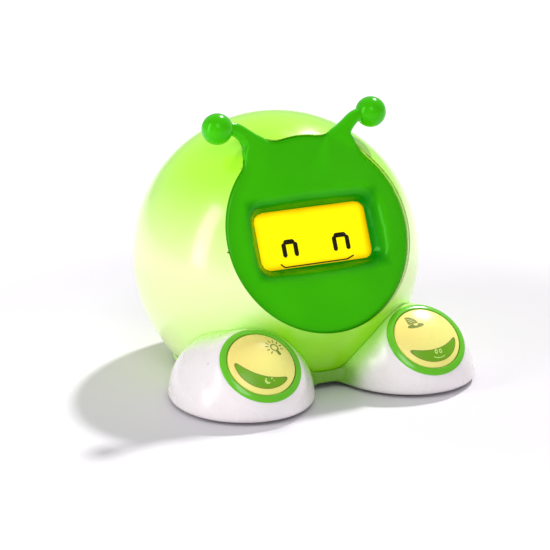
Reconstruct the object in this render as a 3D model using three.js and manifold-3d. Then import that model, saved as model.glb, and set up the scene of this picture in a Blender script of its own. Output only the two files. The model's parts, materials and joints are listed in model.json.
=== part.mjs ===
// Night-light alarm clock shaped like a round bug: a translucent globe with a domed face,
// two feelers and a small display, standing on a base with two big feet that carry buttons.
// Millimetres, +Z up, the face looks along -Y. "left" and "right" are as seen from the front.

import * as THREE from 'three';
import { mergeVertices } from 'three/addons/utils/BufferGeometryUtils.js';
import Module from 'manifold-3d';

const wasm = await Module();
wasm.setup();

const DEG = Math.PI / 180;
const GAP = 0.3;                    // clearance between pieces that touch
const SIDES = { left: -1, right: 1 };

// ---- driving dimensions -------------------------------------------------------------
const ORIGIN_SHIFT_Y = 8.93;        // moves the globe's axis back, so the origin is mid-footprint

const GLOBE_R = 72;
const GLOBE_Z = 55.6;               // height of the globe's centre
const GLOBE_WALL = 2.2;
const GLOBE_BOTTOM_Z = 4.2;
const GLOBE_FLANGE = { inner: 42, outer: 49.8, top: 6.2 };

const FACE_TILT = 25 * DEG;         // the face looks up by this much
const FACE_R = 49.3;
const FACE_EDGE_N = 50.4;           // height of the face's rounded edge above the globe's centre
const FACE_APEX_N = 54.6;
const FACE_BACK_N = 45.4;
const FACE_WALL = 2.2;
const FACE_OPENING_R = 49.7;

const SCREEN = { halfW: 30.5, halfH: 14.5, corner: 3, bottomN: 45.1 };
const RECESS_SLOPE = 4.8;           // how far the recess opens out from screen edge to face
const BALL = { x: 42, v: 57.1, n: 50, r: 7.75 };

const BASE_Z = 1.5;                 // lower edge of the base, above the pads
const BASE_WALL = 2.2;
const SKIRT_R = 52.6;
const WEB = { halfW: 14, front: -57, back: -48, top: 10 };   // joins the feet in front of the skirt
const FOOT = { x: 43.6, y: -50.5, long: 40.5, wide: 35.3, high: 34.4, power: 2.07, toeOut: 12.5 * DEG };

const BUTTON = { x: 45.1, y: -75, z: 24.9, tilt: 41.5 * DEG, ringR: 19.6, boreR: 19.9, capR: 16.9 };
const CRESCENT = { r: 14.2, halfSpan: 73 * DEG, sag: 1.8, turn: { left: -27.2 * DEG, right: 7.8 * DEG } };

const PLATE = { bottom: 1.8, top: 3.8, r: 50 };
const DOOR = { halfW: 27.1, front: -34.1, back: 12.1, top: 3.6, clearance: 0.4 };
const DOOR_TONGUE = { halfW: 5, front: -40.2, screwY: -37.4 };
const BOX = { halfW: 30, front: -35.5, back: 13.5, bottom: 6.5, top: 22.2, wall: 1.8, earTop: 9.5 };
const CELL = { r: 7.25, length: 50.5, z: 11.9, pitch: 15, midY: -11 };
const SPEAKER = { y: 28, r: 13.5, bottom: 4.1, depth: 7 };

const REAR_R = 30;
const REAR_WALL = 2.2;
const REAR_BOARD = { bottom: 59.4, thick: 1.6, r: 25 };
const SET_BUTTONS = { x: [-15, 0, 15], y: 8, r: 4.4, proud: 1.4, flangeR: 5.6 };
const ALARM_SLIDE = { x: -2, y: -11, halfW: 2.5, halfH: 2, travel: 4, proud: 1.2 };
const REAR_SCREW_X = 21.5;

// ---- materials ----------------------------------------------------------------------
const finish = (color, roughness, metalness) => (
  new THREE.MeshStandardMaterial({ color, roughness, metalness })
);
const plastic = (color, roughness = 0.3) => finish(color, roughness, 0);
const metal = (color, roughness = 0.35) => finish(color, roughness, 1);
const LOOKS = {
  globe: plastic(0xd8ffa0, 0.35), green: plastic(0x3cb000, 0.2), ring: plastic(0x5ac814, 0.25),
  white: plastic(0xf4f2f0, 0.2), cream: plastic(0xf5eb96, 0.35), crescent: plastic(0x46b41e, 0.4),
  window: plastic(0xf8ffe8, 0.05), screen: plastic(0xfff014, 0.3), light: plastic(0xffffff, 0.4),
  rubber: plastic(0x2a2a2c, 0.8), board: plastic(0x1e6a36, 0.5), black: plastic(0x161618, 0.5),
  steel: metal(0xc8c8cc), battery: metal(0xb0a070, 0.4),
};

// ---- solids -------------------------------------------------------------------------
function solid(geometry, matrix) {
  const source = geometry.index ? geometry.clone() : mergeVertices(geometry);
  for (const name of ['normal', 'uv']) source.deleteAttribute(name);
  if (matrix) source.applyMatrix4(matrix);
  const merged = mergeVertices(source, 1e-4);
  const position = merged.attributes.position;
  const corners = [];
  let volume = 0;
  const [a, b, c] = [new THREE.Vector3(), new THREE.Vector3(), new THREE.Vector3()];
  for (let i = 0; i < merged.index.count; i += 3) {
    const [ia, ib, ic] = [0, 1, 2].map((k) => merged.index.getX(i + k));
    if (ia === ib || ib === ic || ic === ia) continue;
    corners.push(ia, ib, ic);
    volume += a.fromBufferAttribute(position, ia)
      .dot(b.fromBufferAttribute(position, ib).cross(c.fromBufferAttribute(position, ic)));
  }
  if (volume < 0) corners.reverse();
  return new wasm.Manifold(new wasm.Mesh({
    numProp: 3, vertProperties: Float32Array.from(position.array), triVerts: Uint32Array.from(corners),
  }));
}

const join = (first, ...rest) => rest.reduce((sum, piece) => sum.add(piece), first);
const cut = (first, ...rest) => rest.reduce((left, piece) => left.subtract(piece), first);

function geometryOf(manifold) {
  const { vertProperties, triVerts, numProp } = manifold.getMesh();
  const corners = new Float32Array((vertProperties.length / numProp) * 3);
  for (let i = 0; i < corners.length / 3; i++) {
    for (let k = 0; k < 3; k++) corners[i * 3 + k] = vertProperties[i * numProp + k];
  }
  const geometry = new THREE.BufferGeometry();
  geometry.setAttribute('position', new THREE.BufferAttribute(corners, 3));
  geometry.setIndex(new THREE.BufferAttribute(Uint32Array.from(triVerts), 1));
  geometry.computeVertexNormals();
  return geometry;
}

function add(parent, name, shape, material) {
  const geometry = shape.isBufferGeometry ? geometryOf(solid(shape)) : geometryOf(shape);
  const mesh = new THREE.Mesh(geometry, material);
  mesh.name = name;
  parent.add(mesh);
  return mesh;
}

// A profile of [radius, height] points turned about the Z axis.
function turned(profile, segments = 24) {
  const points = profile.map(([r, z]) => new THREE.Vector2(r, z));
  return new THREE.LatheGeometry(points, segments).rotateX(90 * DEG);
}

function disc(r, bottom, top, segments = 24) {
  return new THREE.CylinderGeometry(r, r, top - bottom, segments).rotateX(90 * DEG)
    .translate(0, 0, (bottom + top) / 2);
}

const post = (x, y, r, bottom, top, segments = 12) => disc(r, bottom, top, segments).translate(x, y, 0);

function slab(shape, bottom, top, curveSegments = 6) {
  return new THREE.ExtrudeGeometry(shape, { depth: top - bottom, bevelEnabled: false, curveSegments })
    .translate(0, 0, bottom);
}

function block(x0, x1, y0, y1, z0, z1) {
  return new THREE.BoxGeometry(x1 - x0, y1 - y0, z1 - z0)
    .translate((x0 + x1) / 2, (y0 + y1) / 2, (z0 + z1) / 2);
}

function roundedRect(halfW, halfH, corner) {
  const [w, h] = [halfW - corner, halfH - corner];
  return new THREE.Shape()
    .absarc(w, -h, corner, -90 * DEG, 0).absarc(w, h, corner, 0, 90 * DEG)
    .absarc(-w, h, corner, 90 * DEG, 180 * DEG).absarc(-w, -h, corner, 180 * DEG, 270 * DEG);
}

// A closed skin through rings of points, each ring with the same number of points.
function loft(rings) {
  const count = rings[0].length;
  const points = rings.flat();
  const index = [];
  for (let row = 0; row + 1 < rings.length; row++) {
    for (let i = 0; i < count; i++) {
      const [p, q] = [row * count + i, row * count + ((i + 1) % count)];
      index.push(p, q, q + count, p, q + count, p + count);
    }
  }
  for (const [row, flip] of [[0, true], [rings.length - 1, false]]) {
    const middle = rings[row].reduce((sum, p) => sum.add(p), new THREE.Vector3()).divideScalar(count);
    points.push(middle);
    for (let i = 0; i < count; i++) {
      const [p, q] = [row * count + i, row * count + ((i + 1) % count)];
      index.push(points.length - 1, flip ? q : p, flip ? p : q);
    }
  }
  const geometry = new THREE.BufferGeometry().setFromPoints(points);
  geometry.setIndex(index);
  return geometry;
}

const ringOf = (shape, z) => shape.getPoints(4).slice(0, -1).map((p) => new THREE.Vector3(p.x, p.y, z));

// Points on an arc about the origin, in a turned profile, angles from the Z axis.
function arc(r, from, to, steps) {
  return Array.from({ length: steps + 1 }, (_, i) => {
    const angle = from + ((to - from) * i) / steps;
    return [r * Math.sin(angle), r * Math.cos(angle)];
  });
}

// Height of a sphere about the origin at a distance from its axis.
const sphereHeight = (r, off) => Math.sqrt(r * r - off * off);

function frameAt(parent, x, y, z, xAxis, yAxis) {
  const group = new THREE.Group();
  const zAxis = new THREE.Vector3().crossVectors(xAxis, yAxis);
  group.position.set(x, y, z);
  group.setRotationFromMatrix(new THREE.Matrix4().makeBasis(xAxis, yAxis, zAxis));
  group.updateMatrix();
  parent.add(group);
  return group;
}

// ---- frames -------------------------------------------------------------------------
const clock = new THREE.Group();
clock.name = 'night_light_clock';
clock.position.y = ORIGIN_SHIFT_Y;
const X = new THREE.Vector3(1, 0, 0);
const faceUp = new THREE.Vector3(0, Math.sin(FACE_TILT), Math.cos(FACE_TILT));
const faceFrame = frameAt(clock, 0, 0, GLOBE_Z, X, faceUp);
const rearFrame = frameAt(clock, 0, 0, GLOBE_Z, new THREE.Vector3(-1, 0, 0), new THREE.Vector3(0, 0, 1));
const buttonFrames = Object.fromEntries(Object.entries(SIDES).map(([side, sign]) => [side, frameAt(
  clock, sign * BUTTON.x, BUTTON.y, BUTTON.z, X,
  new THREE.Vector3(0, Math.cos(BUTTON.tilt), Math.sin(BUTTON.tilt)),
)]));

// ---- feelers ------------------------------------------------------------------------
// Middle line of a feeler in the face's plane: x, v, half width across the plane.
const FEELER = [
  [22.0, 41.0, 9.0], [22.6, 45.0, 6.8], [24.4, 48.4, 4.7],
  [27.6, 51.9, 3.6], [32.4, 55.6, 3.15], [37.2, 56.6, 3.15],
];
const FEELER_N = { root: 48.6, tip: BALL.n, half: 3.15 };

function feeler(sign, grow = 0) {
  const rings = FEELER.map(([x, v, half], i) => {
    const [px, pv] = FEELER[Math.max(i - 1, 0)];
    const [nx, nv] = FEELER[Math.min(i + 1, FEELER.length - 1)];
    const along = new THREE.Vector2(nx - px, nv - pv).normalize();
    const n = THREE.MathUtils.lerp(FEELER_N.root, FEELER_N.tip, i / (FEELER.length - 1));
    return Array.from({ length: 8 }, (_, k) => {
      const turn = (k / 8) * 2 * Math.PI;
      const across = (half + grow) * Math.cos(turn);
      return new THREE.Vector3(
        sign * (x - along.y * across), v + along.x * across, n + (FEELER_N.half + grow) * Math.sin(turn),
      );
    });
  });
  return loft(rings);
}

const ballShape = (r, sign) => new THREE.SphereGeometry(r, 14, 8).translate(sign * BALL.x, BALL.v, BALL.n);
const feelerPeg = (r, sign) => new THREE.CylinderGeometry(r, r, 10, 10).rotateZ(90 * DEG)
  .translate(sign * (BALL.x - 5), BALL.v - 0.2, BALL.n);

// ---- face ---------------------------------------------------------------------------
const domeR = (FACE_R ** 2 + (FACE_APEX_N - FACE_EDGE_N) ** 2) / (2 * (FACE_APEX_N - FACE_EDGE_N));
const domeN = (r, inset = 0) => FACE_APEX_N - domeR + sphereHeight(domeR - inset, r);

function faceBezel() {
  const edge = FACE_R - 2.6;
  const outline = [[0, domeN(0)], [18, domeN(18)], [32, domeN(32)], [edge, domeN(edge)],
    [FACE_R - 1, domeN(edge) - 0.9], [FACE_R, domeN(edge) - 2.6], [FACE_R, FACE_BACK_N]];
  const full = solid(turned([...outline, [0, FACE_BACK_N]], 32));
  const inside = FACE_R - FACE_WALL;
  const under = [0, 18, 32].map((r) => [r, domeN(r, FACE_WALL)]);
  const hollow = solid(turned([...under, [inside, domeN(inside, FACE_WALL) - 1],
    [inside, FACE_BACK_N - 1], [0, FACE_BACK_N - 1]], 32));
  const trough = (grow, bottom) => solid(loft([
    ringOf(roundedRect(SCREEN.halfW + grow, SCREEN.halfH + grow, SCREEN.corner), bottom),
    ringOf(roundedRect(SCREEN.halfW + grow, SCREEN.halfH + grow, SCREEN.corner), SCREEN.bottomN),
    ringOf(roundedRect(SCREEN.halfW + RECESS_SLOPE + grow, SCREEN.halfH + RECESS_SLOPE + grow, 6), 55),
  ]));
  const tray = trough(2, SCREEN.bottomN - 0.001).intersect(full);
  const bosses = FACE_SCREWS.map(([x, y]) => solid(post(x, y, 3, FACE_BACK_N - 5, 50)));
  const pilots = FACE_SCREWS.map(([x, y]) => solid(post(x, y, 1.5, FACE_BACK_N - 6, 46, 8)));
  let bezel = join(cut(full, hollow), tray, ...bosses);
  for (const sign of Object.values(SIDES)) bezel = join(bezel, solid(feeler(sign)));
  bezel = cut(bezel, trough(0, SCREEN.bottomN - 2), ...pilots);
  for (const sign of Object.values(SIDES)) {
    bezel = cut(bezel, solid(ballShape(BALL.r + GAP, sign)));
    bezel = join(bezel, solid(feelerPeg(1.8, sign)));
  }
  return bezel;
}

const FACE_SCREWS = [[-40, -21], [40, -21], [-40, 21], [40, 21]];
add(faceFrame, 'face_bezel', faceBezel(), LOOKS.green);
for (const [side, sign] of Object.entries(SIDES)) {
  const ball = cut(solid(ballShape(BALL.r, sign)), solid(feelerPeg(1.8 + GAP, sign)
    .translate(sign * GAP, 0, 0)));
  add(faceFrame, `antenna_ball_${side}`, ball, LOOKS.green);
}

// Display stack, from the clear window back to the circuit board.
const CHASSIS = { r: 52.6, rimInner: 50.3, back: 37.6, front: 39.6, rimFront: 44.6 };
const DISPLAY = { window: [44.0, 44.8], lcd: [41.3, 43.7], backlight: [37.8, 41.0], board: [34.0, 35.6] };
const plateOf = (halfW, halfH, [back, front]) => slab(roundedRect(halfW, halfH, 1.5), back, front, 3);
add(faceFrame, 'display_window', plateOf(32, 16, DISPLAY.window), LOOKS.window);
add(faceFrame, 'lcd_panel', plateOf(32.5, 17, DISPLAY.lcd), LOOKS.screen);
add(faceFrame, 'lcd_backlight', plateOf(32.5, 17, DISPLAY.backlight), LOOKS.light);

function displayChassis() {
  const dish = solid(turned([[0, CHASSIS.back], [CHASSIS.r, CHASSIS.back], [CHASSIS.r, CHASSIS.rimFront],
    [CHASSIS.rimInner, CHASSIS.rimFront], [CHASSIS.rimInner, CHASSIS.front], [0, CHASSIS.front]], 24));
  const boardFront = DISPLAY.board[1] + GAP;
  const standoffs = [-1, 1].map((sign) => solid(post(sign * 26, -21, 2.5, boardFront, CHASSIS.front)));
  const holes = FACE_SCREWS.map(([x, y]) => solid(post(x, y, 1.6, 30, 50, 8)));
  return cut(join(dish, ...standoffs), solid(plateOf(33, 17.5, [30, 50])), ...holes);
}
add(faceFrame, 'display_chassis', displayChassis(), LOOKS.white);
add(faceFrame, 'main_board', plateOf(34, 24, DISPLAY.board), LOOKS.board);

// A pan-head screw about Z: the head's face is at headZ and the shank runs on to tipZ.
function screw(headZ, tipZ, headR = 2.8, shankR = 1.2, head = 1.2) {
  const s = Math.sign(tipZ - headZ);
  return turned([[0, headZ], [headR * 0.8, headZ], [headR, headZ + s * 0.4], [headR, headZ + s * head],
    [shankR, headZ + s * head], [shankR, tipZ - s], [0, tipZ]], 8);
}
FACE_SCREWS.forEach(([x, y], i) => {
  const faceScrew = screw(CHASSIS.back - GAP - 1.2, 44.5).translate(x, y, 0);
  add(faceFrame, `face_screw_${i + 1}`, faceScrew, LOOKS.steel);
});

// ---- globe --------------------------------------------------------------------------
const PLATE_SCREWS = [[-45.3, 2], [45.3, 2], [-18.5, 41.5], [18.5, 41.5]];

function globe() {
  const lipR = FACE_OPENING_R + 1.3;
  const innerR = GLOBE_R - GLOBE_WALL;
  const outer = arc(GLOBE_R, Math.asin(lipR / GLOBE_R), 180 * DEG, 12);
  const inner = arc(innerR, 180 * DEG, Math.asin((FACE_OPENING_R + 1.8) / innerR), 8);
  const lipN = sphereHeight(GLOBE_R, lipR);
  const innerN = inner[inner.length - 1][1];
  const ball = solid(turned([...outer, ...inner, [FACE_OPENING_R, innerN], [FACE_OPENING_R, lipN - 1],
    [FACE_OPENING_R + 0.5, lipN - 0.2], outer[0]], 32), faceFrame.matrix);
  const flange = solid(turned([[GLOBE_FLANGE.inner, GLOBE_BOTTOM_Z], [GLOBE_FLANGE.outer, GLOBE_BOTTOM_Z],
    [GLOBE_FLANGE.outer, GLOBE_FLANGE.top], [GLOBE_FLANGE.inner, GLOBE_FLANGE.top],
    [GLOBE_FLANGE.inner, GLOBE_BOTTOM_Z]], 28));
  const below = solid(block(-80, 80, -80, 80, -40, GLOBE_BOTTOM_Z));
  const rearHole = solid(disc(REAR_R, 40, 80, 24), rearFrame.matrix);
  const screwHoles = PLATE_SCREWS.map(([x, y]) => solid(post(x, y, 1.8, 0, 10, 8)));
  const notches = Object.values(SIDES).map((sign) => solid(feeler(sign, 0.4), faceFrame.matrix));
  return cut(join(cut(ball, below), flange), rearHole, ...screwHoles, ...notches);
}
add(clock, 'globe', globe(), LOOKS.globe);

// ---- base ---------------------------------------------------------------------------
const PAD_R = 5.5;
const PADS = { front_left: [-45, -68], front_right: [45, -68], rear_left: [-31, 31], rear_right: [31, 31] };
const FOOT_SCREW = { x: 58, y: -52, bossR: 3.5 };

// Raised collar around a button's bore, which carries the dome up to the ring.
const COLLAR = [[0, -0.6], [BUTTON.boreR + 0.9, -0.6], [24.5, -5.5], [0, -5.5]];

// A foot is a dome with slightly squared shoulders, turned so that its toe points outwards.
function footDome(sign, inset) {
  const dome = new THREE.SphereGeometry(1, 26, 14).rotateX(90 * DEG);
  const point = new THREE.Vector3();
  for (let i = 0; i < dome.attributes.position.count; i++) {
    point.fromBufferAttribute(dome.attributes.position, i);
    const sum = point.toArray().reduce((total, c) => total + Math.abs(c) ** FOOT.power, 0);
    point.multiplyScalar(sum ** (-1 / FOOT.power));
    dome.attributes.position.setXYZ(i, point.x, point.y, point.z);
  }
  return dome.scale(FOOT.wide - inset, FOOT.long - inset, FOOT.high - inset)
    .rotateZ(sign * FOOT.toeOut).translate(sign * FOOT.x, FOOT.y, BASE_Z);
}

function baseHousing() {
  const signs = Object.values(SIDES);
  const collars = Object.values(buttonFrames).map((frame) => solid(turned(COLLAR, 28), frame.matrix));
  const web = (inset) => solid(block(
    -WEB.halfW, WEB.halfW, WEB.front + inset, WEB.back, BASE_Z - inset, WEB.top - inset,
  ));
  const outer = join(solid(disc(SKIRT_R, BASE_Z, 12, 40)), web(0),
    ...signs.map((s) => solid(footDome(s, 0))), ...collars);
  const inner = join(solid(disc(SKIRT_R - BASE_WALL, BASE_Z - 2, 14, 40)), web(BASE_WALL),
    ...signs.map((s) => solid(footDome(s, BASE_WALL))));
  const { x: screwX, y: screwY, bossR } = FOOT_SCREW;
  const bosses = signs.map((s) => solid(post(s * screwX, screwY, bossR, 4.2, 40)).intersect(outer));
  const pilots = signs.map((s) => solid(post(s * screwX, screwY, 1.6, 0, 14, 8)));
  const bores = Object.values(buttonFrames)
    .map((frame) => solid(disc(BUTTON.boreR, -7, 12, 24), frame.matrix));
  const below = solid(block(-100, 100, -100, 100, -50, BASE_Z));
  const seat = solid(new THREE.SphereGeometry(GLOBE_R + 0.7, 36, 22).rotateX(90 * DEG)
    .translate(0, 0, GLOBE_Z));
  return cut(join(cut(outer, inner), ...bosses), seat, below, ...bores, ...pilots);
}
add(clock, 'base_housing', baseHousing(), LOOKS.white);

function doorOutline(grow) {
  const w = DOOR.halfW + grow;
  const [front, back] = [DOOR.front - grow, DOOR.back + grow];
  const [tongueW, tongueFront] = [DOOR_TONGUE.halfW + grow, DOOR_TONGUE.front - grow];
  return new THREE.Shape([[-w, front], [-tongueW, front], [-tongueW, tongueFront], [tongueW, tongueFront],
    [tongueW, front], [w, front], [w, back], [-w, back]].map(([x, y]) => new THREE.Vector2(x, y)));
}

function bottomPlate() {
  const inset = BASE_WALL + 0.5;
  const sole = new THREE.Shape().absellipse(0, 0, FOOT.wide - inset, FOOT.long - inset, 0, 2 * Math.PI);
  const soles = Object.values(SIDES).map((sign) => solid(slab(sole, PLATE.bottom, PLATE.top, 9)
    .rotateZ(sign * FOOT.toeOut).translate(sign * FOOT.x, FOOT.y, 0)));
  const plate = join(solid(disc(PLATE.r, PLATE.bottom, PLATE.top, 32)), ...soles);
  const door = solid(slab(doorOutline(DOOR.clearance), 0, 6));
  const holes = [...PLATE_SCREWS, ...[-1, 1].map((s) => [s * FOOT_SCREW.x, FOOT_SCREW.y])]
    .map(([x, y]) => solid(post(x, y, 1.8, 0, 6, 8)));
  const slots = [-8, -4, 0, 4, 8].map((dx) => {
    const half = Math.sqrt((SPEAKER.r - 3) ** 2 - dx ** 2);
    return solid(slab(roundedRect(0.9, half, 0.85), 0, 6, 3).translate(dx, SPEAKER.y, 0));
  });
  return cut(plate, door, ...holes, ...slots);
}
add(clock, 'bottom_plate', bottomPlate(), LOOKS.white);

for (const [name, [x, y]] of Object.entries(PADS)) {
  add(clock, `foot_pad_${name}`, post(x, y, PAD_R, 0, PLATE.bottom - GAP, 20), LOOKS.rubber);
}
const SCREW_HEAD_Z = 0.4;
PLATE_SCREWS.forEach(([x, y], i) => {
  add(clock, `base_screw_${i + 1}`, screw(SCREW_HEAD_Z, 9).translate(x, y, 0), LOOKS.steel);
});
for (const [side, sign] of Object.entries(SIDES)) {
  const footScrew = screw(SCREW_HEAD_Z, 12).translate(sign * FOOT_SCREW.x, FOOT_SCREW.y, 0);
  add(clock, `foot_screw_${side}`, footScrew, LOOKS.steel);
}

// ---- battery bay --------------------------------------------------------------------
function batteryDoor() {
  const screwHole = solid(post(0, DOOR_TONGUE.screwY, 1.6, 0, 6, 8));
  const lid = cut(solid(slab(doorOutline(0), PLATE.bottom, DOOR.top)), screwHole);
  const tabTop = 5.2;
  const tabs = [-15, 15].flatMap((x) => [
    block(x - 4, x + 4, DOOR.back - 2, DOOR.back + 2.6, PLATE.top + 0.4, tabTop),
    block(x - 4, x + 4, DOOR.back - 2, DOOR.back, DOOR.top - 0.2, tabTop),
  ]);
  return join(lid, ...tabs.map((tab) => solid(tab)));
}
add(clock, 'battery_door', batteryDoor(), LOOKS.white);
add(clock, 'door_screw', screw(SCREW_HEAD_Z, 8.6).translate(0, DOOR_TONGUE.screwY, 0), LOOKS.steel);

function batteryBox() {
  const { halfW, front, back, bottom, top, wall, earTop } = BOX;
  const shell = cut(solid(block(-halfW, halfW, front, back, bottom, top)),
    solid(block(wall - halfW, halfW - wall, front + wall, back - wall, bottom - 1, top - wall)));
  const ears = [
    block(-5, 5, front - 6, front + 0.5, bottom, earTop),
    ...[-1, 1].map((s) => block(s * 38.3 - 9.3, s * 38.3 + 9.3, -3, 7, bottom, earTop)),
    ...[-1, 1].map((s) => block(s * 18.2 - 3, s * 18.2 + 3, back - 0.5, 43.7, bottom, earTop)),
  ].map((ear) => solid(ear));
  const posts = LIGHT_POSTS
    .map(([x, y]) => solid(post(x, y, 2.5, top - 1, LIGHT_BOARD.bottom - GAP)));
  const pilots = [...PLATE_SCREWS, [0, DOOR_TONGUE.screwY]]
    .map(([x, y]) => solid(post(x, y, 2, 5, 12, 8)));
  return cut(join(shell, ...ears, ...posts), ...pilots);
}
const LIGHT_BOARD = { y: -11, r: 23, bottom: 26, thick: 1.6 };
const LIGHT_POSTS = [[-16, -11], [16, -11]];
add(clock, 'battery_box', batteryBox(), LOOKS.black);
[-1, 0, 1].forEach((row, i) => {
  const cell = turned([[0, 0], [CELL.r, 0], [CELL.r, CELL.length - 1.5], [2.6, CELL.length - 1.5],
    [2.6, CELL.length], [0, CELL.length]], 20);
  cell.translate(0, 0, -CELL.length / 2).rotateY((i % 2 ? 90 : -90) * DEG);
  add(clock, `battery_cell_${i + 1}`, cell.translate(0, CELL.midY + row * CELL.pitch, CELL.z), LOOKS.battery);
});
for (const [side, sign] of Object.entries(SIDES)) {
  const x = sign * (CELL.length / 2 + 1.1);
  add(clock, `battery_contact_${side}`, block(x - 0.25, x + 0.25, -31, 9, 7, 18), LOOKS.steel);
}

// ---- light, speaker -----------------------------------------------------------------
add(clock, 'light_board', post(0, LIGHT_BOARD.y, LIGHT_BOARD.r, LIGHT_BOARD.bottom,
  LIGHT_BOARD.bottom + LIGHT_BOARD.thick, 24), LOOKS.white);
const LED_RING_R = 14;
[0, 1].forEach((i) => {
  const angle = (45 + 180 * i) * DEG;
  const foot = LIGHT_BOARD.bottom + LIGHT_BOARD.thick + GAP;
  const led = turned([[0, foot], [2.9, foot], [2.9, foot + 1], [2.5, foot + 1], [2.5, foot + 5],
    [1.8, foot + 6.8], [0, foot + 7.5]], 14);
  led.translate(LED_RING_R * Math.cos(angle), LIGHT_BOARD.y + LED_RING_R * Math.sin(angle), 0);
  add(clock, `led_${i + 1}`, led, LOOKS.light);
});
const speakerTop = SPEAKER.bottom + SPEAKER.depth;
const speaker = turned([[0, SPEAKER.bottom + 1.6], [SPEAKER.r - 2.5, SPEAKER.bottom + 1],
  [SPEAKER.r - 1, SPEAKER.bottom], [SPEAKER.r, SPEAKER.bottom], [SPEAKER.r, SPEAKER.bottom + 2],
  [8, SPEAKER.bottom + 3.6], [8, speakerTop], [0, speakerTop]], 20);
add(clock, 'speaker', speaker.translate(0, SPEAKER.y, 0), LOOKS.black);

// ---- foot buttons -------------------------------------------------------------------
const CAP_TOP = 5.2;
const CAP_EDGE = 1.4;
const capDomeR = (BUTTON.capR ** 2 + (CAP_TOP - CAP_EDGE) ** 2) / (2 * (CAP_TOP - CAP_EDGE));
const capHeight = (r, lift = 0) => CAP_TOP - capDomeR + sphereHeight(capDomeR + lift, r);
const CAP_WALL = 1.6;
const BUTTON_BOARD = { bottom: -7.4, top: -6.4, r: 18.1 };
const SPRING = { r: 7, wire: 0.6, bottom: -5.5, top: 0.2, turns: 3 };

function buttonRing() {
  return turned([[17.2, -2.8], [17.2, 1], [17.6, 1.35], [18.6, 0.8], [BUTTON.ringR, 0],
    [BUTTON.ringR, BUTTON_BOARD.bottom], [18.4, BUTTON_BOARD.bottom], [18.4, -2.8], [17.2, -2.8]], 24);
}

function buttonCap() {
  const r = BUTTON.capR;
  const inside = r - CAP_WALL;
  return turned([[0, capHeight(0)], [9, capHeight(9)], [r - 0.4, capHeight(r - 0.4)],
    [r, CAP_EDGE - 0.5], [r, -3.2], [18, -3.2], [18, -4.2], [inside, -4.2],
    [inside, capHeight(inside, -CAP_WALL)], [2, capHeight(2, -CAP_WALL)],
    [2, -2.1], [0, -2.1]], 24);
}

// Crescent inlay near the cap's lower edge: an outer arc and a gently sagging upper edge.
function crescent(turn) {
  const { r, halfSpan, sag } = CRESCENT;
  const [left, right] = [-90 * DEG - halfSpan + turn, -90 * DEG + halfSpan + turn];
  const down = new THREE.Vector2(Math.sin(turn), -Math.cos(turn));
  const shape = new THREE.Shape().absarc(0, 0, r, left, right);
  const bend = down.multiplyScalar(r * Math.cos(halfSpan) + 2 * sag);
  shape.quadraticCurveTo(bend.x, bend.y, r * Math.cos(left), r * Math.sin(left));
  const lens = (lift) => {
    const top = [0, 9, 16].map((off) => [off, capHeight(off, lift)]);
    return solid(turned([...top, [16, -2], [0, -2]], 24));
  };
  return solid(slab(shape, -2, 8, 6)).intersect(cut(lens(0.8), lens(GAP)));
}

class Helix extends THREE.Curve {
  getPoint(t) {
    const angle = SPRING.turns * 2 * Math.PI * t;
    const z = THREE.MathUtils.lerp(SPRING.bottom, SPRING.top, t);
    return new THREE.Vector3(SPRING.r * Math.cos(angle), SPRING.r * Math.sin(angle), z);
  }
}

function tactSwitch() {
  const top = BUTTON_BOARD.top + GAP;
  return join(solid(block(-3, 3, -3, 3, top, top + 1.7)), solid(post(0, 0, 1.7, top + 1.5, top + 2.2, 12)));
}

for (const [side, frame] of Object.entries(buttonFrames)) {
  add(frame, `${side}_button_ring`, buttonRing(), LOOKS.ring);
  add(frame, `${side}_button_cap`, buttonCap(), LOOKS.cream);
  add(frame, `${side}_button_crescent`, crescent(CRESCENT.turn[side]), LOOKS.crescent);
  const wire = new THREE.ExtrudeGeometry(new THREE.Shape().absarc(0, 0, SPRING.wire, 0, 2 * Math.PI),
    { steps: SPRING.turns * 8, bevelEnabled: false, curveSegments: 2, extrudePath: new Helix() });
  add(frame, `${side}_button_spring`, wire, LOOKS.steel);
  const board = disc(BUTTON_BOARD.r, BUTTON_BOARD.bottom, BUTTON_BOARD.top, 24);
  add(frame, `${side}_button_board`, board, LOOKS.board);
  add(frame, `${side}_button_switch`, tactSwitch(), LOOKS.black);
}

// ---- rear controls ------------------------------------------------------------------
const rearSkin = (x, y, inset = 0) => sphereHeight(GLOBE_R - inset, Math.hypot(x, y));
const panelR = REAR_R - GAP;
const panelUnder = sphereHeight(GLOBE_R - REAR_WALL, panelR) - 0.2;

function rearPanel() {
  const cup = [0, 12, 22, panelR].map((r) => [r, rearSkin(r, 0)]);
  const under = [22, 12, 0].map((r) => [r, rearSkin(r, 0, REAR_WALL)]);
  const shell = solid(turned([...cup, [panelR, panelUnder], [panelR - 1.8, panelUnder], ...under], 24));
  const bossFoot = REAR_BOARD.bottom + REAR_BOARD.thick + GAP;
  const bosses = [-1, 1].map((s) => solid(post(s * REAR_SCREW_X, 0, 2.6, bossFoot, 67)));
  const pilots = [-1, 1].map((s) => solid(post(s * REAR_SCREW_X, 0, 1.5, 55, 65.5, 8)));
  const buttonHoles = SET_BUTTONS.x
    .map((x) => solid(post(x, SET_BUTTONS.y, SET_BUTTONS.r + 0.4, 50, 80, 12)));
  const { x, y, halfW, halfH, travel } = ALARM_SLIDE;
  const [slotW, slotH] = [halfW + GAP, halfH + GAP];
  const slot = solid(block(x - slotW, x + slotW + travel, y - slotH, y + slotH, 50, 80));
  return cut(join(shell, ...bosses), ...pilots, ...buttonHoles, slot);
}
add(rearFrame, 'rear_panel', rearPanel(), LOOKS.green);

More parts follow.
